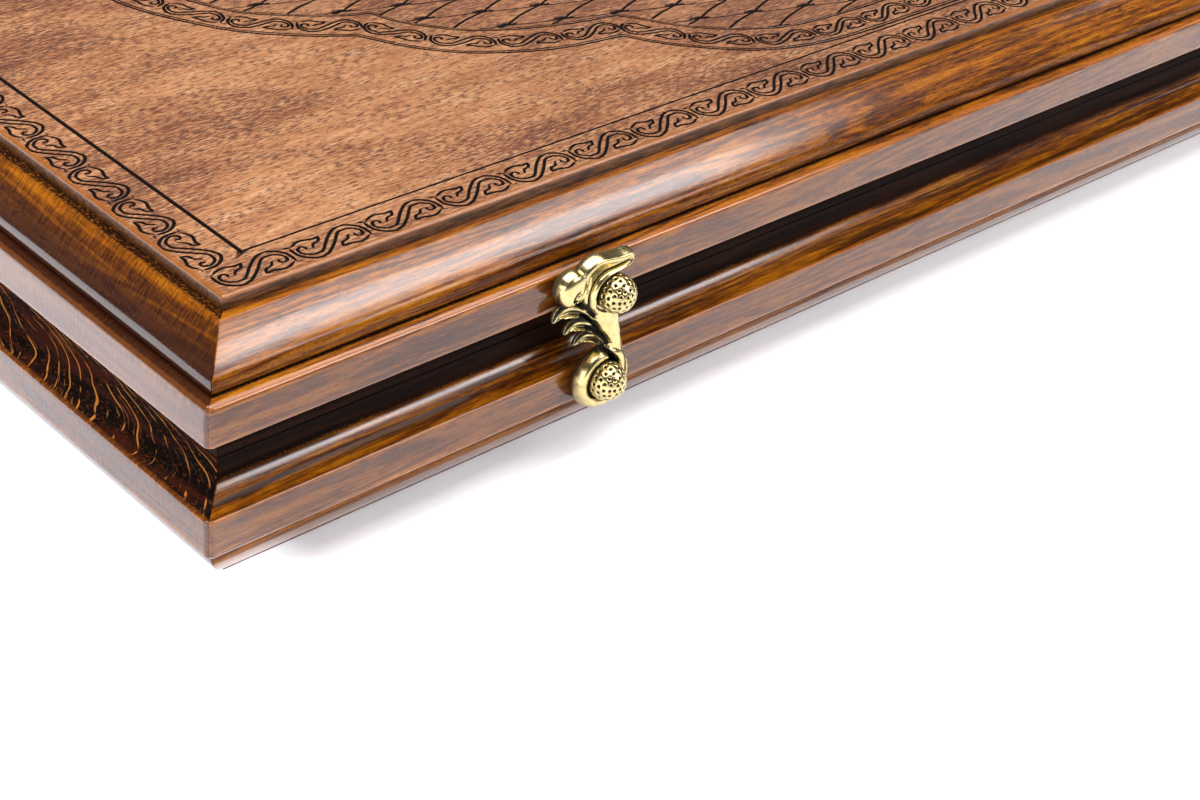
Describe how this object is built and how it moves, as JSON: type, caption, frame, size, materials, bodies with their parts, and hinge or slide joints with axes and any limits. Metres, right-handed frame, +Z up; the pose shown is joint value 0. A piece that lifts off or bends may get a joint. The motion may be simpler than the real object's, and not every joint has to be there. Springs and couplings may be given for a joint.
{
  "type": "folding backgammon case",
  "caption": "Folding wooden backgammon case with moulded frames, carved panels, brass hook latches, butt hinges, inlaid trays, checkers and dice.",
  "frame": {"origin": "middle of the flat underside of the base half, on the surface that the closed case lies on", "axes": "+X along the long latch side, to the right when facing the latches; +Y from the latch side to the hinge side; +Z up"},
  "size_m": [0.6, 0.3134, 0.07],
  "materials": {
    "stained_moulding": "stained, glossy lacquer",
    "carved_wood": "stained, satin lacquer, burnt carving",
    "board_veneer": "satin lacquer",
    "light_inlay": "satin lacquer",
    "dark_inlay": "satin lacquer",
    "hinge_brass": "brushed",
    "antique_brass": "cast, dark in the recesses",
    "light_piece": "polished",
    "dark_piece": "polished",
    "die_white": "polished"
  },
  "bodies": {
    "base": {"base_front_rail": "stained_moulding", "base_back_rail": "stained_moulding", "base_left_rail": "stained_moulding", "base_right_rail": "stained_moulding", "base_carved_panel": "carved_wood", "base_playing_board": "board_veneer", "base_light_points": "light_inlay", "base_dark_points": "dark_inlay", "hinge_left_base_leaf": "hinge_brass", "hinge_left_pin": "hinge_brass", "hinge_right_base_leaf": "hinge_brass", "hinge_right_pin": "hinge_brass", "hinge_base_screws": "hinge_brass", "latch_left_pivot_stud": "antique_brass", "latch_right_pivot_stud": "antique_brass", "light_checkers": "light_piece", "dark_checkers": "dark_piece", "dice": "die_white"},
    "lid": {"lid_front_rail": "stained_moulding", "lid_back_rail": "stained_moulding", "lid_left_rail": "stained_moulding", "lid_right_rail": "stained_moulding", "lid_carved_panel": "carved_wood", "lid_playing_board": "board_veneer", "lid_light_points": "light_inlay", "lid_dark_points": "dark_inlay", "hinge_left_lid_leaf": "hinge_brass", "hinge_right_lid_leaf": "hinge_brass", "hinge_lid_screws": "hinge_brass", "latch_left_catch_stud": "antique_brass", "latch_right_catch_stud": "antique_brass"},
    "left_hook": {"latch_left_hook": "antique_brass"},
    "right_hook": {"latch_right_hook": "antique_brass"}
  },
  "joints": [
    {"name": "lid_hinge", "type": "hinge", "parent": "base", "child": "lid", "pos_m": [0, 0.15025, 0.035], "axis": [-1, 0, 0], "range_deg": [0, 180]},
    {"name": "left_hook_swing", "type": "hinge", "parent": "base", "child": "left_hook", "pos_m": [-0.1924, -0.1525, 0.0231], "axis": [0, -1, 0], "range_deg": [0, 90]},
    {"name": "right_hook_swing", "type": "hinge", "parent": "base", "child": "right_hook", "pos_m": [0.1924, -0.1525, 0.0231], "axis": [0, -1, 0], "range_deg": [0, 90]}
  ]
}
